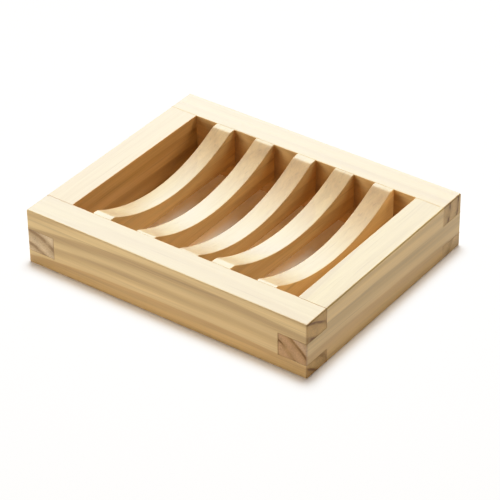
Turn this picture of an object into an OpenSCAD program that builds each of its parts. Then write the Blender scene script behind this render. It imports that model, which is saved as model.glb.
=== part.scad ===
/* [Frame] */
// Length of the dish, from left to right
body_l = 123; // [105:1:150]
// Width of the dish, from front to back
body_w = 98.5; // [80:0.5:125]
// Height of the dish
body_h = 22.8; // [19:0.2:30]
// Thickness of the four boards that make the frame
rail_t = 12; // [9:0.5:15]
// Rounding sanded onto the outer edges of the glued frame
arris_r = 0.6; // [0.2:0.1:2]

/* [Corner joints] */
// Height of the lower finger at each end of a long rail
lower_finger_h = 5.7; // [4:0.1:8]
// Height of the through tenon at each end of a short rail
rail_tenon_h = 9; // [5:0.5:11]

/* [Slats] */
// Width of one slat
slat_w = 8.2; // [6:0.1:12]
// Height of a slat at its ends, where it is level with the frame
slat_h = 15; // [13:0.5:18]
// Depth of the curve at the middle of a slat
dip_depth = 8.9; // [4:0.1:10]
// Usual length of the level stretch at each end of a slat, before the curve starts
level_end = 1.9; // [1:0.1:4]

/* [Slat tenons] */
// Thickness of the stub tenon at each end of a slat
stub_w = 5; // [3:0.5:5.5]
// Height of a stub tenon, with its round top and bottom
stub_h = 9; // [6.5:0.5:11]
// Length of a stub tenon, which is hidden in the long rail
stub_l = 5; // [3:0.5:7]

/* [Glue] */
// Gap left for glue round every tenon
glue_gap = 0.1; // [0.05:0.05:0.25]

/* [Hidden] */

// The slats are counted from left to right
slat_count = 5;

// How far a cutting shape runs past the face that it cuts
cut_over = 1;

// How far a tenon's own shape runs back into its slat
root_l = 0.5;

// Facets of a round outline
$fn = 64;

// Half sizes of the outside and of the opening inside the frame
half_l = body_l / 2;
half_w = body_w / 2;
inner_l = body_l - 2 * rail_t;
inner_w = body_w - 2 * rail_t;

// The slats and the gaps between them fill the opening, with a gap at each end
gap_w = (inner_l - slat_count * slat_w) / (slat_count + 1);
slat_pitch = slat_w + gap_w;
slat_bottom = body_h - slat_h;

// A stub tenon sits at half the height of the slat's end
stub_mid_z = slat_bottom + slat_h / 2;

// The slats were set by hand: how far the front and back end of each one is off its even place,
// towards +X, as a share of the gap
front_shift_shares = [-0.05, 0.14, 0.27, -0.12, 0.05];
back_shift_shares = [0.01, 0.06, 0.16, 0.07, 0.02];

// Each curve was cut by hand too: its level stretches as shares of the usual one
front_level_shares = [1.3, 0.5, 0.3, 1.5, 0.7];
back_level_shares = [1.4, 0.7, 1.6, 0.5, 1.1];

long_rail_colour = [0.84, 0.71, 0.50];
short_rail_colour = [0.80, 0.68, 0.48];
slat_colour = [0.93, 0.84, 0.66];

// Middle of one end of slat number i along X
function slat_end_x(i, shift_shares) =
    -inner_l / 2 + i * slat_pitch - slat_w / 2 + shift_shares[i - 1] * gap_w;

// Where the curve of slat number i starts and ends along Y
function curve_front_y(i) = -inner_w / 2 + front_level_shares[i - 1] * level_end;
function curve_back_y(i) = inner_w / 2 - back_level_shares[i - 1] * level_end;

// The curve is an arc through those two places and its lowest point, midway between them
function curve_half_span(i) = (curve_back_y(i) - curve_front_y(i)) / 2;
function curve_r(i) = (curve_half_span(i) ^ 2 + dip_depth ^ 2) / (2 * dip_depth);

// Rectangle with round corners, drawn about its middle
module round_rectangle(w, h, r) {
    square([w - 2 * r, h], center = true);
    square([w, h - 2 * r], center = true);
    for (x = [-1, 1], y = [-1, 1])
        translate([x * (w / 2 - r), y * (h / 2 - r)])
            circle(r = r);
}

// Upright slot outline with half-round ends, drawn about its middle
module round_ended_slot(w, h) {
    square([w, h - w], center = true);
    for (y = [-1, 1])
        translate([0, y * (h - w) / 2])
            circle(d = w);
}

// The glued frame seen as one block, with its outer edges sanded round
module sanded_block() {
    intersection() {
        linear_extrude(body_h)
            round_rectangle(body_l, body_w, arris_r);
        translate([-half_l, 0, body_h / 2])
            rotate([90, 0, 90])
                linear_extrude(body_l)
                    round_rectangle(body_w, body_h, arris_r);
        translate([0, half_w, body_h / 2])
            rotate([90, 0, 0])
                linear_extrude(body_w)
                    round_rectangle(body_l, body_h, arris_r);
    }
}

// Slot in the end of a long rail that the short rail's tenon fills, at the end with that sign of X
module corner_socket(side) {
    socket_l = rail_t + glue_gap + cut_over;
    translate([side * (half_l - rail_t - glue_gap + socket_l / 2),
               -half_w + rail_t / 2,
               lower_finger_h + rail_tenon_h / 2])
        cube([socket_l, rail_t + 2 * cut_over, rail_tenon_h + 2 * glue_gap], center = true);
}

// Blind mortise at that place along the inner face of the front rail, for a stub tenon
module stub_mortise(x) {
    translate([x, -half_w + rail_t + cut_over, stub_mid_z])
        rotate([90, 0, 0])
            linear_extrude(cut_over + stub_l + glue_gap)
                round_ended_slot(stub_w + 2 * glue_gap, stub_h + 2 * glue_gap);
}

// Long rail, in the place of the front one: two fingers at each end and a row of mortises
module long_rail(shift_shares) {
    color(long_rail_colour)
        intersection() {
            sanded_block();
            difference() {
                translate([-half_l, -half_w, 0])
                    cube([body_l, rail_t, body_h]);
                for (side = [-1, 1])
                    corner_socket(side);
                for (i = [1 : slat_count])
                    stub_mortise(slat_end_x(i, shift_shares));
            }
        }
}

// Short rail, in the place of the left one: a through tenon at each end shows on the long rails
module short_rail() {
    color(short_rail_colour)
        intersection() {
            sanded_block();
            union() {
                translate([-half_l, -inner_w / 2, 0])
                    cube([rail_t, inner_w, body_h]);
                translate([-half_l, -half_w, lower_finger_h])
                    cube([rail_t, body_w, rail_tenon_h]);
            }
        }
}

// Stub tenon of a slat, in the place of one in the front rail, rooted a little way into the slat
module stub_tenon(x) {
    translate([x, -inner_w / 2 + root_l, stub_mid_z])
        rotate([90, 0, 0])
            linear_extrude(root_l + stub_l)
                round_ended_slot(stub_w, stub_h);
}

// One slat: level at both ends, hollowed between them, with a stub tenon in each long rail
module slat(i) {
    front_x = slat_end_x(i, front_shift_shares);
    back_x = slat_end_x(i, back_shift_shares);
    color(slat_colour) {
        difference() {
            translate([0, 0, slat_bottom])
                linear_extrude(slat_h)
                    polygon([[front_x - slat_w / 2, -inner_w / 2],
                             [front_x + slat_w / 2, -inner_w / 2],
                             [back_x + slat_w / 2, inner_w / 2],
                             [back_x - slat_w / 2, inner_w / 2]]);
            translate([0, (curve_front_y(i) + curve_back_y(i)) / 2, body_h - dip_depth + curve_r(i)])
                rotate([0, 90, 0])
                    cylinder(h = inner_l, r = curve_r(i), center = true, $fn = 256);
        }
        stub_tenon(front_x);
        mirror([0, 1, 0]) stub_tenon(back_x);
    }
}

long_rail(front_shift_shares);  // front_rail
mirror([0, 1, 0]) long_rail(back_shift_shares);  // back_rail
short_rail();  // left_rail
mirror([1, 0, 0]) short_rail();  // right_rail
slat(1);  // slat_1
slat(2);  // slat_2
slat(3);  // slat_3
slat(4);  // slat_4
slat(5);  // slat_5
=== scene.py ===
"""Dresses the slatted pine soap dish for its picture. All lengths are in metres."""

import math

import bpy
import numpy as np
from mathutils import Matrix, Vector


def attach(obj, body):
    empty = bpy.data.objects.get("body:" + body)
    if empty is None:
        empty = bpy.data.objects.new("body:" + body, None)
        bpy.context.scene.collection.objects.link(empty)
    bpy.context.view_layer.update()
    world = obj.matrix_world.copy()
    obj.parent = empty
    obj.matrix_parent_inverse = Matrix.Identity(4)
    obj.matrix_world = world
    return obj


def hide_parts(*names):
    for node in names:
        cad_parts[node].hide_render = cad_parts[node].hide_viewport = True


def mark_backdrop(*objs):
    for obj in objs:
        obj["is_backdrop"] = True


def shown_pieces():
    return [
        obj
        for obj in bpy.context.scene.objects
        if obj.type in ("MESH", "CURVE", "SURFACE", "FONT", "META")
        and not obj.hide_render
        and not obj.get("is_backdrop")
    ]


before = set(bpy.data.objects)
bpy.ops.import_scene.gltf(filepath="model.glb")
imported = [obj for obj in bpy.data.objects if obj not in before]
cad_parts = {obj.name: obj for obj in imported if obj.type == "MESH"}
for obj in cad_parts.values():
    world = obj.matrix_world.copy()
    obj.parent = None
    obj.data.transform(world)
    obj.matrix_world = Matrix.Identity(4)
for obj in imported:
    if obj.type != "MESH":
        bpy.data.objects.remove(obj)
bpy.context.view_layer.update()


# Front rail. A pine board on edge, its grain running left to right.
# Each end is sawn into an upper and a lower finger, and the inner face has a row of
# blind round-ended mortises for the slats. The glued frame's outer edges are sanded round.
DISH_LENGTH, DISH_WIDTH, DISH_HEIGHT = 0.123, 0.0985, 0.0228
BOARD = 0.012
SOCKET_LOW, SOCKET_HIGH, SOCKET_DEPTH = 0.0056, 0.0148, 0.0121
SOCKET_WALL_HEIGHTS = (0.008, 0.0102, 0.0125)
MORTISE_WIDTH, MORTISE_HEIGHT, MORTISE_DEPTH = 0.0052, 0.0092, 0.0051
MORTISE_MID_HEIGHT = 0.0153
SIDE_POINTS = 8
WELD_STEPS = 1e7

# Middle of each slat's front end along the rail, from left to right
FRONT_ENDS = np.array([-0.036217, -0.016513, 0.002610, 0.016707, 0.036217])


def mortise_ring(width, height):
    """Round-ended upright slot about its middle, as four runs of eight points: round the lower
    end, up the right side, round the upper end and down the left side. The lower end and the
    right side lie on circles about the ends' middles, and half a turn gives the rest."""
    ends = np.radians(-135 + 90 / SIDE_POINTS * np.arange(SIDE_POINTS))
    side = np.radians([-45, -30, -15, 0, 0, 0, 15, 30])
    angle = np.concatenate([ends, side, ends + math.pi, side + math.pi])
    reach = (height - width) / 2
    lift = np.concatenate([-np.ones(SIDE_POINTS), [-1, -1, -1, -1, 0, 1, 1, 1]])
    lift = np.concatenate([lift, -lift]) * reach
    return np.stack([np.cos(angle) * width / 2, np.sin(angle) * width / 2 + lift], 1)


def weld(polygons):
    """Polygons given by their corner points become shared points and faces. Corners that fall
    on the same tenth of a micron are one point."""
    corners = np.concatenate(polygons)
    keys = np.round(corners * WELD_STEPS).astype(np.int64)
    _, first, index = np.unique(keys, axis=0, return_index=True, return_inverse=True)
    ends = np.cumsum([len(p) for p in polygons])[:-1]
    return corners[first], [f.tolist() for f in np.split(index.ravel(), ends)]


def make_piece(name, points, faces):
    """A mesh object at the origin, with its place in its points and its faces shaded smooth."""
    mesh = bpy.data.meshes.new(name)
    mesh.from_pydata(points.tolist(), [], faces)
    mesh.polygons.foreach_set("use_smooth", np.ones(len(faces), bool))
    mesh.update()
    piece = bpy.data.objects.new(name, mesh)
    bpy.context.scene.collection.objects.link(piece)
    return piece


def long_rail_mesh(slat_ends):
    """Long rail in rail measures: x along it, s in from the outer face, z up. Its inner face is
    cut into one window for each slat. In a window, ring 0 is the window's edge, ring 1 the
    mortise's mouth and ring 2 the mortise's floor, and faces span ring to ring. The rest is flat
    panels: the outer face, the underside and the top, and at each end two fingers' inner faces
    and tips, and the end wall, floor and roof of the socket between them."""
    half, root, top = DISH_LENGTH / 2, DISH_LENGTH / 2 - SOCKET_DEPTH, DISH_HEIGHT
    low, high = SOCKET_LOW, SOCKET_HIGH
    low_mid, high_mid = low / 2, (high + top) / 2
    borders = np.concatenate([[-root], (slat_ends[1:] + slat_ends[:-1]) / 2, [root]])
    heights = np.array([0, low_mid, low, *SOCKET_WALL_HEIGHTS, high, high_mid, top])
    ring = mortise_ring(MORTISE_WIDTH, MORTISE_HEIGHT)
    flush, deep = np.full(len(ring), BOARD), np.full(len(ring), BOARD - MORTISE_DEPTH)
    quads, floors, rims = [], [], []
    for left, right, middle in zip(borders[:-1], borders[1:], slat_ends):
        across = np.linspace(left, right, SIDE_POINTS + 1)
        edge_x = np.concatenate([across[:-1], np.full(SIDE_POINTS, right),
                                 across[:0:-1], np.full(SIDE_POINTS, left)])
        edge_z = np.concatenate([np.zeros(SIDE_POINTS), heights[:-1],
                                 np.full(SIDE_POINTS, top), heights[:0:-1]])
        mouth_x, mouth_z = ring[:, 0] + middle, ring[:, 1] + MORTISE_MID_HEIGHT
        rings = np.stack([np.stack([edge_x, flush, edge_z], 1),
                          np.stack([mouth_x, flush, mouth_z], 1),
                          np.stack([mouth_x, deep, mouth_z], 1)])
        after = np.roll(rings, -1, axis=1)
        spans = np.stack([rings[:-1], rings[1:], after[1:], after[:-1]], 2).reshape(-1, 4, 3)
        quads += list(spans)
        floors.append(rings[2][::-1])
        rims.append(across[:-1])
    rim = np.concatenate(rims + [[root]])

    def panel(xs, ss, zs):
        return np.stack(np.broadcast_arrays(*(np.asarray(a, float) for a in (xs, ss, zs))), 1)

    outline_x = [-half, half, half, root, root, half, half, -half, -half, -root, -root, -half]
    outline_z = [0, 0, low, low, high, high, top, top, high, high, low, low]
    panels = [panel(outline_x, 0, outline_z)]
    edge_x = np.concatenate([[-half], rim, [half]])
    for z, turn in ((0.0, -1), (top, 1)):
        board_x = np.concatenate([[-half, half], edge_x[::-1]])
        board_s = np.concatenate([[0, 0], np.full(len(edge_x), BOARD)])
        panels.append(panel(board_x, board_s, z)[::turn])
    for side in (-1, 1):
        tip, inner = side * half, side * root
        lower = panel([inner, tip, tip, inner, inner], BOARD, [0, 0, low, low, low_mid])
        upper = panel([inner, tip, tip, inner, inner], BOARD, [high, high, top, top, high_mid])
        end_wall = panel(inner, [0, BOARD, BOARD, BOARD, BOARD, BOARD, 0],
                         [low, low, *SOCKET_WALL_HEIGHTS, high, high])
        floor_side, roof_side = (panel([inner, tip, tip, inner], [0, 0, BOARD, BOARD], z)
                                 for z in (low, high))
        tips = [panel(tip, [0, BOARD, BOARD, 0], [a, a, b, b]) for a, b in ((0, low), (high, top))]
        panels += [lower[::-side], upper[::-side], end_wall[::side]]
        panels += [floor_side[::side], roof_side[::-side]] + [t[::side] for t in tips]
    return weld(quads + floors + panels)


ARRIS, ARRIS_STEPS = 0.0006, 4
EASED_SHARE, JOINT_SHARE = 0.45, 0.10
PLANE_TOLERANCE = 1e-6


def ease_edges(piece, outer, joint, soft):
    """Marks how far each edge is rounded, as a share of the arris: an edge on two outer planes
    takes all of it, an edge on the open side of the frame a part, and a joint edge a hair.
    A plane is given as its axis and its place along that axis."""
    mesh = piece.data
    points = np.empty(len(mesh.vertices) * 3, np.float32)
    mesh.vertices.foreach_get("co", points)
    ends = np.empty(len(mesh.edges) * 2, np.int32)
    mesh.edges.foreach_get("vertices", ends)
    a, b = points.reshape(-1, 3)[ends.reshape(-1, 2)].transpose(1, 0, 2)

    def on_planes(planes):
        hits = [(abs(a[:, axis] - at) < PLANE_TOLERANCE) & (abs(b[:, axis] - at) < PLANE_TOLERANCE)
                for axis, at in planes]
        return np.sum(hits, axis=0)

    share = np.where(on_planes(outer) >= 2, 1.0, 0.0)
    bare = (on_planes(outer) + on_planes(soft) >= 2) & (share == 0)
    share = np.where(bare, EASED_SHARE, share)
    sawn = (on_planes(outer) + on_planes(soft) + on_planes(joint) >= 2) & (share == 0)
    share = np.where(sawn, JOINT_SHARE, share)
    weights = mesh.attributes.new("bevel_weight_edge", "FLOAT", "EDGE")
    weights.data.foreach_set("value", share.astype(np.float32))
    arris = piece.modifiers.new("sanded edges", "BEVEL")
    arris.limit_method, arris.offset_type = "WEIGHT", "OFFSET"
    arris.width, arris.segments, arris.harden_normals = ARRIS, ARRIS_STEPS, True


def long_rail_planes(side):
    """Outer, joint and inner face planes of a long rail on that side of the dish."""
    half_l, half_w = DISH_LENGTH / 2, DISH_WIDTH / 2
    outer = [(0, -half_l), (0, half_l), (1, side * half_w), (2, 0.0), (2, DISH_HEIGHT)]
    joint = [(0, -half_l + SOCKET_DEPTH), (0, half_l - SOCKET_DEPTH), (2, SOCKET_LOW), (2, SOCKET_HIGH)]
    soft = [(1, side * (half_w - BOARD))]
    return outer, joint, soft


SPRING_WOOD, SUMMER_WOOD, CUT_END = (0.66, 0.45, 0.19), (0.48, 0.30, 0.105), (0.80, 0.74, 0.72)
# Tint of the years near the heart line, and how much of it shows: the orange of that wood, and on the
# right rail also painted shade that makes the lower part of the board darker
HEARTWOOD_AND_SHADE_TINT, HEARTWOOD_AND_SHADE_SHARE = (0.87, 0.77, 0.62), 0.85
DARK_STREAK = (0.15, 0.062, 0.018)
TRUNK_WAVE, RING_DRIFT = 0.0035, 0.14

# The highest power of a year's growth, which puts its summer wood late, and the least strength
# of that wood
LATEST_SUMMER, WEAKEST_SUMMER = 1.8, 0.6

# How much summer wood shows at the start and end of a year, and at places between them
YEAR_START, YEAR_END = 0.3, 0.45
SEASONS = ((0.08, 0.03), (0.2, 0.0), (0.4, 0.25), (0.54, 0.72),
           (0.68, 0.9), (0.84, 1.0), (0.94, 0.8))
COARSE_SHARE, FINE_SHARE, CLOUD_SHARE = 0.65, 0.35, 0.22
FIBRE_CONTRAST, PORE_CONTRAST, RESIN_DARKENING = 0.85, 0.7, 0.16
ROUGHNESS, SUMMER_SMOOTHING = 0.40, 0.06
SIDE_GLOSS, END_GLOSS = 0.5, 0.1
RELIEF_STRENGTH, RELIEF_DEPTH, SUMMER_RELIEF = 0.25, 0.00006, 0.4
NOISE_MIDDLE = 0.5


def pine(name, along, pith, rings, bow=(0.0, 0.0), tilt=(0.0, 0.0), early=SPRING_WOOD,
         late=SUMMER_WOOD, end=CUT_END, streaks=0.85, heartwood_and_shade_years=0.0, uneven=0.12, seed=0.0):
    """Sawn pine, cut out of a trunk whose heart line lies at pith, across the grain. A point's
    distance from the heart line, made a little uneven by noise, is turned into a count of years:
    rings holds the first ring's width, the power that narrows later rings, and the count at the
    heart. The part of the count after the point goes from pale spring wood, early, to brown
    summer wood, late, and drops back at once, sooner in some years than in others. bow bends the
    grain along the board by so much times the squared distance from its peak, and tilt turns the
    grain, in radians. Years under a given count are tinted more orange and darker: the wood near
    the heart line, and on the right rail also painted shade on the lower part of the board. On a
    face cut across the grain, end multiplies the colour, and parts of the summer rings show dark
    by the share streaks. uneven is how much one year's wood differs from the next in brightness,
    and seed picks the noise. Fine noise drawn out along the grain gives the fibres."""
    first_width, taper, phase = rings
    material = bpy.data.materials.new(name)
    material.use_nodes = True
    tree = material.node_tree
    tree.nodes.clear()

    def node(kind, **settings):
        """A node with these settings, of which in_2 stands for its input 2."""
        made = tree.nodes.new(kind)
        for key, value in settings.items():
            if key.startswith("in_"):
                made.inputs[int(key[3:])].default_value = value
            else:
                setattr(made, key, value)
        return made

    def join(source, target):
        tree.links.new(source, target)

    def calc(operation, a, b=None, c=None):
        """Arithmetic on numbers and outputs of nodes."""
        made = node("ShaderNodeMath", operation=operation)
        for k, value in enumerate((a, b, c)):
            if value is None:
                continue
            if isinstance(value, (int, float)):
                made.inputs[k].default_value = value
            else:
                join(value, made.inputs[k])
        return made.outputs[0]

    def ramp(value, low, high):
        """Rises from 0 at low to 1 at high, eased at both ends."""
        made = node("ShaderNodeMapRange", interpolation_type="SMOOTHSTEP", in_1=low, in_2=high)
        join(value, made.inputs[0])
        return made.outputs[0]

    def blend(share, a, b, mode="MIX"):
        """Colour a with that share of colour b mixed in, or of a times b."""
        made = node("ShaderNodeMix", data_type="RGBA", blend_type=mode)
        for value, slot in ((share, 0), (a, 6), (b, 7)):
            if isinstance(value, float):
                made.inputs[slot].default_value = value
            elif isinstance(value, tuple):
                made.inputs[slot].default_value = (*value, 1)
            else:
                join(value, made.inputs[slot])
        return made.outputs[2]

    def grey(value):
        """One number as all three parts of a colour."""
        made = node("ShaderNodeCombineXYZ")
        for k in range(3):
            join(value, made.inputs[k])
        return made.outputs[0]

    # The board is turned so that its grain runs along X and the heart line is the X axis
    where = node("ShaderNodeTexCoord")
    turn = -math.pi / 2 if along == "Y" else 0.0
    heart = Vector((pith[0], 0, pith[1])) if along == "Y" else Vector((0, pith[0], pith[1]))
    rotation = Matrix.Rotation(turn, 3, "Z")
    place = node("ShaderNodeMapping")
    place.inputs["Rotation"].default_value = (0, 0, turn)
    place.inputs["Location"].default_value = -(rotation @ heart)
    join(where.outputs["Object"], place.inputs["Vector"])
    lay = node("ShaderNodeMapping")
    lay.inputs["Rotation"].default_value = (0, tilt[1], tilt[0])
    join(place.outputs[0], lay.inputs["Vector"])

    def grain_noise(scale, detail, roughness, along_share, offset=0.0):
        """Noise whose scale along the grain is only a share of that across it."""
        made = node("ShaderNodeMapping")
        made.inputs["Scale"].default_value = (along_share, 1, 1)
        made.inputs["Location"].default_value = (seed + offset, 0, 0)
        join(lay.outputs[0], made.inputs["Vector"])
        noise = node("ShaderNodeTexNoise")
        noise.inputs["Scale"].default_value = scale
        noise.inputs["Detail"].default_value = detail
        noise.inputs["Roughness"].default_value = roughness
        join(made.outputs[0], noise.inputs["Vector"])
        return noise

    # Slow waves of the trunk, and the bow of the grain along the board
    waves = grain_noise(scale=45.0, detail=2.0, roughness=0.5, along_share=0.22)
    centred = node("ShaderNodeVectorMath", operation="SUBTRACT",
                   in_1=(NOISE_MIDDLE, NOISE_MIDDLE, NOISE_MIDDLE))
    join(waves.outputs["Color"], centred.inputs[0])
    waved = node("ShaderNodeVectorMath", operation="MULTIPLY_ADD", in_1=(0, TRUNK_WAVE, TRUNK_WAVE))
    join(centred.outputs[0], waved.inputs[0])
    join(lay.outputs[0], waved.inputs[2])
    parts = node("ShaderNodeSeparateXYZ")
    join(waved.outputs[0], parts.inputs[0])
    off_peak = calc("SUBTRACT", parts.outputs[0], bow[1])
    drop = calc("MULTIPLY", calc("MULTIPLY", off_peak, off_peak), bow[0])
    rise = calc("ADD", parts.outputs[2], drop)
    across = node("ShaderNodeCombineXYZ")
    join(parts.outputs[1], across.inputs[1])
    join(rise, across.inputs[2])
    reach = node("ShaderNodeVectorMath", operation="LENGTH")
    join(across.outputs[0], reach.inputs[0])
    distance = reach.outputs["Value"]

    # Years, each a little wider or narrower than the last, and each with a strength of its own
    years = calc("POWER", calc("MULTIPLY", distance, 1 / first_width), taper)
    drift = node("ShaderNodeTexNoise", noise_dimensions="1D")
    drift.inputs["Scale"].default_value = 210.0
    drift.inputs["Detail"].default_value = 1.0
    join(calc("ADD", distance, seed), drift.inputs["W"])
    years = calc("ADD", years,
                 calc("MULTIPLY_ADD", drift.outputs[0], RING_DRIFT, phase - RING_DRIFT / 2))
    growth = calc("FRACT", years)
    year = calc("FLOOR", years)
    white_noise = node("ShaderNodeTexWhiteNoise", noise_dimensions="1D")
    join(calc("ADD", year, seed), white_noise.inputs["W"])
    strength = white_noise.outputs["Value"]
    season = node("ShaderNodeValToRGB")
    stops = season.color_ramp
    for stop, value in zip(stops.elements, (YEAR_START, YEAR_END)):
        stop.color = (value, value, value, 1)
    for position, value in SEASONS:
        stops.elements.new(position).color = (value, value, value, 1)
    join(calc("POWER", growth, calc("MULTIPLY_ADD", strength, -1.0, LATEST_SUMMER)), season.inputs[0])
    summer = calc("MULTIPLY", season.outputs[0],
                  calc("MULTIPLY_ADD", strength, 1 - WEAKEST_SUMMER, WEAKEST_SUMMER))

    # Fibres and resin streaks along the grain, and slow clouds of tone
    coarse = grain_noise(scale=420.0, detail=3.0, roughness=0.6, along_share=0.03, offset=3.1)
    fine = grain_noise(scale=1900.0, detail=2.0, roughness=0.6, along_share=0.02, offset=7.7)
    fibre = calc("ADD", calc("MULTIPLY", coarse.outputs[0], COARSE_SHARE),
                 calc("MULTIPLY", fine.outputs[0], FINE_SHARE))
    resin_noise = grain_noise(scale=900.0, detail=1.0, roughness=0.5, along_share=0.018, offset=12.3)
    resin = ramp(resin_noise.outputs[0], low=0.66, high=0.74)
    cloudy = grain_noise(scale=60.0, detail=2.0, roughness=0.5, along_share=0.25, offset=21.0)

    # How squarely a face is cut across the fibres, and what such a face shows: fine pores, and
    # patches in which the summer rings are dark
    facing = node("ShaderNodeVectorMath", operation="DOT_PRODUCT")
    facing.inputs[1].default_value = (0, 1, 0) if along == "Y" else (1, 0, 0)
    join(where.outputs["Normal"], facing.inputs[0])
    slope = calc("ABSOLUTE", facing.outputs["Value"])
    crosscut = ramp(slope, low=0.05, high=0.5)
    endwise = ramp(slope, low=0.75, high=0.95)
    pores = grain_noise(scale=2600.0, detail=2.0, roughness=0.7, along_share=1.0, offset=5.0)
    patches = grain_noise(scale=190.0, detail=1.0, roughness=0.5, along_share=1.0, offset=40.0)
    slash = calc("MULTIPLY", ramp(season.outputs[0], low=0.80, high=0.97),
                 ramp(patches.outputs[0], low=0.36, high=0.56))

    # Colour: years, the orange and darker tint near the heart line (on the right rail partly painted
    # shade) and clouds, then fibres and resin, then what the cut ends show (on the left and right
    # rails partly painted sheen)
    tone = blend(summer, early, late)
    old = calc("LESS_THAN", year, heartwood_and_shade_years)
    tone = blend(calc("MULTIPLY", old, HEARTWOOD_AND_SHADE_SHARE), tone,
                 blend(1.0, tone, HEARTWOOD_AND_SHADE_TINT, "MULTIPLY"))
    tone = blend(calc("MULTIPLY", ramp(cloudy.outputs[0], low=0.4, high=0.7), CLOUD_SHARE), tone,
                 tuple((a + b) / 2 for a, b in zip(early, late)))
    shade = calc("MULTIPLY_ADD", calc("SUBTRACT", fibre, NOISE_MIDDLE), FIBRE_CONTRAST, 1.0)
    shade = calc("MULTIPLY", shade, calc("MULTIPLY_ADD", resin, -RESIN_DARKENING, 1.0))
    shade = calc("MULTIPLY", shade, calc("MULTIPLY_ADD", strength, -uneven, 1 + uneven / 4))
    tone = blend(1.0, tone, grey(shade), "MULTIPLY")
    tone = blend(crosscut, tone, blend(1.0, tone, end, "MULTIPLY"))
    dots = calc("MULTIPLY_ADD", calc("SUBTRACT", pores.outputs[0], NOISE_MIDDLE), PORE_CONTRAST, 1.0)
    ended = blend(1.0, blend(calc("MULTIPLY", slash, streaks), tone, DARK_STREAK),
                  grey(dots), "MULTIPLY")
    tone = blend(endwise, tone, ended)

    surface = node("ShaderNodeBsdfPrincipled")
    join(tone, surface.inputs["Base Color"])
    join(calc("MULTIPLY_ADD", summer, -SUMMER_SMOOTHING, ROUGHNESS), surface.inputs["Roughness"])
    join(calc("MULTIPLY_ADD", endwise, END_GLOSS - SIDE_GLOSS, SIDE_GLOSS),
         surface.inputs["Specular IOR Level"])
    relief = node("ShaderNodeBump")
    relief.inputs["Strength"].default_value = RELIEF_STRENGTH
    relief.inputs["Distance"].default_value = RELIEF_DEPTH
    join(calc("ADD", fibre, calc("MULTIPLY", summer, SUMMER_RELIEF)), relief.inputs["Height"])
    join(relief.outputs[0], surface.inputs["Normal"])
    output = node("ShaderNodeOutputMaterial")
    join(surface.outputs[0], output.inputs["Surface"])
    return material


def dress(piece, material, node_name):
    """The piece takes its wood, rides on the dish and stands for the solid of the same name."""
    piece.data.materials.append(material)
    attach(piece, "root")
    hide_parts(node_name)


front_points, front_faces = long_rail_mesh(FRONT_ENDS)
front_rail = make_piece("front_rail_pine", front_points - [0, DISH_WIDTH / 2, 0], front_faces)
ease_edges(front_rail, *long_rail_planes(-1))
front_pine = pine("front rail pine", "X", pith=(-0.061, -0.018), rings=(0.00588, 1.0, 0.25),
                  bow=(0.8, 0.008), end=(0.77, 0.70, 0.62), heartwood_and_shade_years=5.0, seed=37.0)
dress(front_rail, front_pine, "front_rail")


# Back rail. The twin of the front rail, turned round, out of a board whose rings stand upright.
# Its slat ends sit a little differently, because the slats were set by hand.
BACK_ENDS = np.array([-0.035637, -0.017287, 0.001547, 0.018543, 0.035927])

back_points, back_faces = long_rail_mesh(BACK_ENDS)
back_rail = make_piece("back_rail_pine", back_points * [1, -1, 1] + [0, DISH_WIDTH / 2, 0],
                       [face[::-1] for face in back_faces])
ease_edges(back_rail, *long_rail_planes(1))
back_pine = pine("back rail pine", "X", pith=(0.005, 0.025), rings=(0.0056, 1.0, 0.3),
                 bow=(0.4, 0.0), end=(0.80, 0.79, 0.86), seed=4.0)
dress(back_rail, back_pine, "back_rail")


# Left and right rails. Shorter pine boards between the long ones, their grain running front to back.
# The middle of each end goes on as a through tenon that fills the socket of the long rail.
TENON_LOW, TENON_HIGH = 0.0057, 0.0147


def short_rail_mesh(side):
    """Short rail: its outline, a board with a tenon at each end, carried along X through the
    board's thickness. Side face k spans outline points k and k + 1 at both ends."""
    half_w, inner = DISH_WIDTH / 2, DISH_WIDTH / 2 - BOARD
    low, high, top = TENON_LOW, TENON_HIGH, DISH_HEIGHT
    ys = np.array([-inner, inner, inner, half_w, half_w, inner,
                   inner, -inner, -inner, -half_w, -half_w, -inner])
    zs = np.array([0, 0, low, low, high, high, top, top, high, high, low, low])
    face_in, face_out = side * (DISH_LENGTH / 2 - BOARD), side * DISH_LENGTH / 2
    rings = np.stack([np.stack([np.full(len(ys), x), ys, zs], 1) for x in (face_in, face_out)])
    after = np.roll(rings, -1, axis=1)
    sides = np.stack([rings[0], after[0], after[1], rings[1]], 1)
    polygons = [p[::side] for p in sides] + [rings[0][::-side], rings[1][::side]]
    return weld(polygons)


def short_rail_planes(side):
    """Outer, joint and inner face planes of a short rail on that side of the dish."""
    half_l, half_w = DISH_LENGTH / 2, DISH_WIDTH / 2
    outer = [(1, -half_w), (1, half_w), (0, side * half_l), (2, 0.0), (2, DISH_HEIGHT)]
    joint = [(1, -half_w + BOARD), (1, half_w - BOARD), (2, TENON_LOW), (2, TENON_HIGH)]
    soft = [(0, side * (half_l - BOARD))]
    return outer, joint, soft


left_rail = make_piece("left_rail_pine", *short_rail_mesh(-1))
ease_edges(left_rail, *short_rail_planes(-1))
left_pine = pine("left_rail pine", "Y", pith=(-0.070, -0.023), rings=(0.00588, 1.0, 0.12),
                 bow=(0.3, 0.0), tilt=(0.0, 0.01), early=(0.65, 0.44, 0.182),
                 # The end colour is lifted in blue: partly the end grain's own mauve grey, and partly
                 # painted sheen standing in for the gloss that the end grain is not given
                 end=(0.99, 1.08, 1.58), streaks=0.5, seed=52.0)
dress(left_rail, left_pine, "left_rail")

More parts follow.
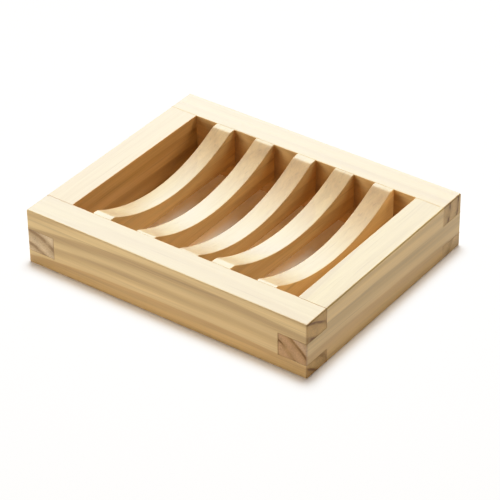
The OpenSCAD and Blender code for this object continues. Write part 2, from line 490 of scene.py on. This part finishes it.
right_rail = make_piece("right_rail_pine", *short_rail_mesh(1))
ease_edges(right_rail, *short_rail_planes(1))
right_pine = pine("right_rail pine", "Y", pith=(0.035, -0.013), rings=(0.00525, 1.0, 0.562),
                  bow=(0.2, 0.0), tilt=(0.0, -0.04), early=(0.66, 0.445, 0.166),
                  # The end colour is lifted in blue: partly the end grain's own mauve grey, and partly
                  # painted sheen standing in for the gloss that the end grain is not given
                  late=(0.50, 0.315, 0.088), end=(0.82, 0.79, 1.20), streaks=0.9,
                  # Its years near the heart line lie low in the board, so their tint is partly the
                  # wood's own orange and partly painted shade, darker towards the floor
                  heartwood_and_shade_years=7.0, uneven=0.22, seed=18.0)
dress(right_rail, right_pine, "right_rail")


# Slats. Five thin pine strips on edge, level with the frame at both ends and hollowed by one
# round cut between them. A round-ended stub tenon at each end is glued into a long rail.
SLAT_WIDTH, SLAT_BOTTOM, HOLLOW_DEPTH = 0.0082, 0.0078, 0.0089
STUB_WIDTH, STUB_HEIGHT, STUB_LENGTH = 0.005, 0.009, 0.005
SLAT_EASE, CREST_EASE = 0.0003, 0.0004
CRISP_ANGLE = math.radians(35)
QUARTER_STEPS = 6

# Length of each slat's level stretch at its front and back end, from left to right
FRONT_LEVELS = np.array([0.00247, 0.00095, 0.00057, 0.00285, 0.00133])
BACK_LEVELS = np.array([0.00266, 0.00133, 0.00304, 0.00095, 0.00209])

# Stations along a slat: on a level stretch, round a crest and along the hollow, and how far
# from the crest each of these stops
LEVEL_STATIONS, CREST_STATIONS, HOLLOW_STATIONS = 4, 9, 89
LEVEL_STOP, CREST_STOP, HOLLOW_STOP = 0.0005, 0.0004, 0.0008

# Heart line, rings, spring wood and seed of each slat's pine, from left to right
SLAT_PINES = (((-0.050, -0.020), (0.0060, 1.1, 0.1), (0.69, 0.47, 0.19), 20.0),
              ((-0.002, -0.030), (0.0070, 1.1, 0.6), (0.69, 0.465, 0.185), 25.0),
              ((0.030, -0.024), (0.0060, 1.1, 0.4), (0.645, 0.425, 0.168), 30.0),
              ((0.004, -0.026), (0.0065, 1.1, 0.8), (0.70, 0.48, 0.195), 35.0),
              ((0.060, -0.010), (0.0060, 1.1, 0.2), (0.64, 0.43, 0.172), 40.0))
SLAT_SUMMER_WOOD, SLAT_CUT_END, SLAT_UNEVEN = (0.59, 0.38, 0.145), (0.90, 0.86, 0.84), 0.05


def rounded_section(half_width, bottom, top, radius):
    """Upright section with round corners as four quarter circles, from the lower left one round
    to the upper left one. bottom, top and radius may be columns, one number for each station."""
    quarter = np.linspace(0, math.pi / 2, QUARTER_STEPS)
    angle = np.concatenate([quarter + start * math.pi / 2 for start in (2, 3, 0, 1)])
    right = np.repeat([-1, 1, 1, -1], QUARTER_STEPS)
    upper = np.repeat([0, 0, 1, 1], QUARTER_STEPS)
    xs = right * (half_width - radius) + radius * np.cos(angle)
    zs = np.where(upper, top - radius, bottom + radius) + radius * np.sin(angle)
    return np.broadcast_arrays(xs, zs)


def slat_mesh(front_x, back_x, front_level, back_level):
    """One slat: an upright section with eased edges carried from the front stub to the back one.
    The top follows the smaller of the frame's height and the round cut, blended at the crests
    where the level stretches end. The cut is an arc through both crests and the hollow's depth
    midway. At the shoulders the section narrows at once to the stub's round-ended one."""
    inner = DISH_WIDTH / 2 - BOARD
    start, end = front_level - inner, inner - back_level
    half_span = (end - start) / 2
    radius = (half_span ** 2 + HOLLOW_DEPTH ** 2) / (2 * HOLLOW_DEPTH)
    span = np.concatenate([np.linspace(-inner, start - LEVEL_STOP, LEVEL_STATIONS),
                           np.linspace(start - CREST_STOP, start + CREST_STOP, CREST_STATIONS),
                           np.linspace(start + HOLLOW_STOP, end - HOLLOW_STOP, HOLLOW_STATIONS),
                           np.linspace(end - CREST_STOP, end + CREST_STOP, CREST_STATIONS),
                           np.linspace(end + LEVEL_STOP, inner, LEVEL_STATIONS)])[:, None]
    cut = DISH_HEIGHT - HOLLOW_DEPTH + radius - np.sqrt(radius ** 2 - (span - (start + end) / 2) ** 2)
    top = (cut + DISH_HEIGHT - np.sqrt((cut - DISH_HEIGHT) ** 2 + CREST_EASE ** 2)) / 2
    xs, zs = rounded_section(SLAT_WIDTH / 2, SLAT_BOTTOM, top, SLAT_EASE)
    middle = front_x + (back_x - front_x) * (span + inner) / (2 * inner)
    body = np.stack([xs + middle, np.broadcast_to(span, xs.shape), zs], 2)
    low = MORTISE_MID_HEIGHT - STUB_HEIGHT / 2
    stub_x, stub_z = rounded_section(STUB_WIDTH / 2, low, low + STUB_HEIGHT, STUB_WIDTH / 2)

    def stub(x, y):
        return np.stack([stub_x + x, np.full(stub_x.shape, y), stub_z], 1)

    front = np.stack([stub(front_x, -inner - STUB_LENGTH), stub(front_x, -inner)])
    back = np.stack([stub(back_x, inner), stub(back_x, inner + STUB_LENGTH)])
    rings = np.concatenate([front, body, back])
    count, around = rings.shape[:2]
    index = np.arange(count * around).reshape(count, around)
    after = np.roll(index, -1, axis=1)
    quads = np.stack([index[:-1], index[1:], after[1:], after[:-1]], 2).reshape(-1, 4)
    caps = [index[0].tolist(), index[-1][::-1].tolist()]
    return rings.reshape(-1, 3), quads.tolist() + caps


def keep_flats_flat(piece):
    """Edges past the crisp angle stay sharp, and the large faces set the shading of the rest."""
    piece.data.set_sharp_from_angle(angle=CRISP_ANGLE)
    shading = piece.modifiers.new("flat faces", "WEIGHTED_NORMAL")
    shading.keep_sharp = True
    shading.weight = 100


for k, (pith, rings, early, seed) in enumerate(SLAT_PINES):
    slat = make_piece(f"slat_{k + 1}_pine",
                      *slat_mesh(FRONT_ENDS[k], BACK_ENDS[k], FRONT_LEVELS[k], BACK_LEVELS[k]))
    keep_flats_flat(slat)
    slat_pine = pine(f"slat {k + 1} pine", "Y", pith, rings, early=early, late=SLAT_SUMMER_WOOD,
                     end=SLAT_CUT_END, uneven=SLAT_UNEVEN, seed=seed)
    dress(slat, slat_pine, f"slat_{k + 1}")


# Studio. A pale seamless paper floor and large soft lamps in a dim room, none of it part of the
# dish. The patch of paper inside the frame is a sheet of its own with lamps of its own, because
# the wood round it throws warm light on it. Its edge is hidden under the rails.
FLOOR_SIZE = 6.0
INSIDE_LENGTH, INSIDE_WIDTH = 0.111, 0.0865
PAPER_WHITE, PAPER_ROUGHNESS, PAPER_GLOSS = 0.93, 0.9, 0.1


def paper_sheet(length, width):
    """Corners of a flat sheet about the origin, counted from the front left one."""
    return np.array([[-1, -1, 0], [1, -1, 0], [1, 1, 0], [-1, 1, 0]]) * [length / 2, width / 2, 0]


def paper_ring(outer, inner):
    """Ring of four quads between two sheets. Corner k of one is joined to corner k of the other."""
    k = np.arange(4)
    after = (k + 1) % 4
    return np.concatenate([outer, inner]), np.stack([k, after, after + 4, k + 4], 1).tolist()


paper = bpy.data.materials.new("white paper")
paper.use_nodes = True
paper_surface = paper.node_tree.nodes["Principled BSDF"]
paper_surface.inputs["Base Color"].default_value = (PAPER_WHITE, PAPER_WHITE, PAPER_WHITE, 1)
paper_surface.inputs["Roughness"].default_value = PAPER_ROUGHNESS
paper_surface.inputs["Specular IOR Level"].default_value = PAPER_GLOSS
inside = paper_sheet(INSIDE_LENGTH, INSIDE_WIDTH)
floor = make_piece("floor", *paper_ring(paper_sheet(FLOOR_SIZE, FLOOR_SIZE), inside))
inner_paper = make_piece("inner_paper", inside, [[0, 1, 2, 3]])
for sheet in (floor, inner_paper):
    sheet.data.materials.append(paper)
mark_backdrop(floor, inner_paper)


def lit_group(name, *things):
    """A named group of objects for the lamps to light."""
    group = bpy.data.collections.new(name)
    for thing in things:
        group.objects.link(thing)
    return group


def lamp(name, place, size, power, lights, shaded_by=None, tint=(1, 1, 1), sheen_only=False):
    """A square soft lamp that faces the dish. It lights one group of objects, and only the
    objects of the shading group, if there is one, cast shadows in its light."""
    light = bpy.data.lights.new(name, "AREA")
    light.shape, light.size, light.energy, light.color = "SQUARE", size, power, tint
    holder = bpy.data.objects.new(name, light)
    holder.location = place
    holder.rotation_euler = (-Vector(place)).to_track_quat("-Z", "Y").to_euler()
    holder.visible_diffuse = not sheen_only
    bpy.context.scene.collection.objects.link(holder)
    holder.light_linking.receiver_collection = lights
    if shaded_by:
        holder.light_linking.blocker_collection = shaded_by


dish = {piece.name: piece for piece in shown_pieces()}
slats = [dish[f"slat_{k + 1}_pine"] for k in range(len(SLAT_PINES))]
whole_dish = lit_group("the dish", *dish.values())
all_slats = lit_group("slats", *slats)
last_slat = lit_group("slat 5", slats[-1])
left_board = lit_group("left rail", left_rail)
back_board = lit_group("back rail", back_rail)
other_boards = lit_group("front, back and right rails", front_rail, back_rail, right_rail)
paper_inside = lit_group("paper inside the frame", inner_paper)
paper_outside = lit_group("paper outside the frame", floor)

# The main light from the back left, and the gloss that it leaves on the tops
lamp("dish lamp", (-1.22, 1.49, 1.37), 1.7, 52.0, whole_dish)
lamp("sheen lamp", (-1.27, 1.56, 1.22), 2.4, 70.0, whole_dish, sheen_only=True)

# The paper inside the frame, with the glow of the wood round it, in which nothing casts a shadow
lamp("warm paper lamp", (-1.00, 1.25, 1.50), 0.9, 17.0, paper_inside, tint=(1.0, 0.52, 0.18))
lamp("cool paper lamp", (0.54, 1.48, 1.10), 0.8, 37.0, paper_inside, tint=(0.84, 1.0, 0.96))
lamp("paper glow", (0.0, 0.0, 1.20), 0.6, 2.8, paper_inside,
     shaded_by=paper_inside, tint=(1.0, 0.43, 0.145))

# Light from above on the tops
lamp("top lamp", (-0.35, 0.10, 1.10), 0.6, 3.3, whole_dish)
lamp("frame lamp", (0.0, 0.0, 1.20), 0.6, 3.8, other_boards)

# The slats' sides, with the glow of wood on wood, and their hollowed tops
lamp("side lamp", (0.68, 0.61, 0.59), 0.5, 3.6, all_slats, tint=(1.0, 1.0, 0.90))
lamp("slat glow", (0.90, -0.30, 0.35), 0.5, 0.95, all_slats,
     shaded_by=paper_inside, tint=(1.0, 0.32, 0.12))
lamp("hollow lamp", (-0.50, -0.50, 0.80), 0.5, 1.7, all_slats, tint=(1.0, 0.96, 0.90))
lamp("last slat lamp", (1.00, 0.10, 0.25), 0.5, 3.7, last_slat,
     shaded_by=paper_inside, tint=(1.0, 0.83, 0.66))

# The inner faces of the left and back rails
lamp("left inside lamp", (0.70, 0.66, 0.70), 0.5, 6.5, left_board, tint=(1.0, 0.64, 0.41))
lamp("back inside lamp", (0.10, -0.80, 0.55), 0.5, 1.25, back_board,
     shaded_by=paper_inside, tint=(1.0, 0.42, 0.15))
lamp("back corner lamp", (-0.80, -0.70, 0.24), 0.4, 4.0, back_board, tint=(1.0, 0.88, 0.72))

# The outside of the dish, from the front left and from the right
lamp("left fill lamp", (-0.50, -0.60, 0.25), 0.5, 2.6, whole_dish)
lamp("right fill lamp", (0.95, -0.10, 0.33), 0.5, 0.40, whole_dish)

# The paper round the dish, with the dish's shadow and a light that fills it
lamp("floor lamp", (-0.09, 0.14, 1.15), 0.35, 16.5, paper_outside)
lamp("floor glow", (0.0, 0.0, 1.20), 0.6, 4.0, paper_outside,
     shaded_by=paper_outside, tint=(1.0, 0.83, 0.66))

ROOM_LIGHT = 0.02
room = bpy.data.worlds.new("white room")
bpy.context.scene.world = room
room.use_nodes = True
room.node_tree.nodes["Background"].inputs["Color"].default_value = (1, 1, 1, 1)
room.node_tree.nodes["Background"].inputs["Strength"].default_value = ROOM_LIGHT

# The picture's whites roll off gently, as a camera's do, instead of clipping. The last of the
# four curves works on all three colours, and each point gives a light and how it is shown.
BRIGHTEST = 2.0
ROLL_OFF = ((0.3, 0.3), (0.55, 0.55), (0.75, 0.73), (0.95, 0.87), (1.15, 0.96), (1.3, 1.0))
look = bpy.context.scene.view_settings
look.view_transform = "Standard"
look.look = "None"
look.exposure, look.gamma = 0.0, 1.0
look.use_curve_mapping = True
whites = look.curve_mapping
whites.white_level = (BRIGHTEST, BRIGHTEST, BRIGHTEST)
for light, shown in ROLL_OFF:
    whites.curves[-1].points.new(light / BRIGHTEST, shown)
whites.update()


# Camera. A long lens looking down on the front right corner, with the faint roll that the
# picture has. Its place and lens were worked out from the dish's own corners.
CAMERA_PLACE = Vector((0.44290, -0.60233, 0.52069))
CAMERA_FORWARD = Vector((-0.48497, 0.66281, -0.57052))
CAMERA_ROLL = math.radians(0.769)
SENSOR, LENS = 36.0, 179.076
NEAREST, FURTHEST = 0.05, 20.0

camera_data = bpy.data.cameras.new("camera")
camera_data.sensor_width, camera_data.lens = SENSOR, LENS
camera_data.clip_start, camera_data.clip_end = NEAREST, FURTHEST
camera = bpy.data.objects.new("camera", camera_data)
level = CAMERA_FORWARD.to_track_quat("-Z", "Y").to_matrix().to_4x4()
camera.matrix_world = Matrix.Translation(CAMERA_PLACE) @ level @ Matrix.Rotation(-CAMERA_ROLL, 4, "Z")
bpy.context.scene.collection.objects.link(camera)
bpy.context.scene.camera = camera
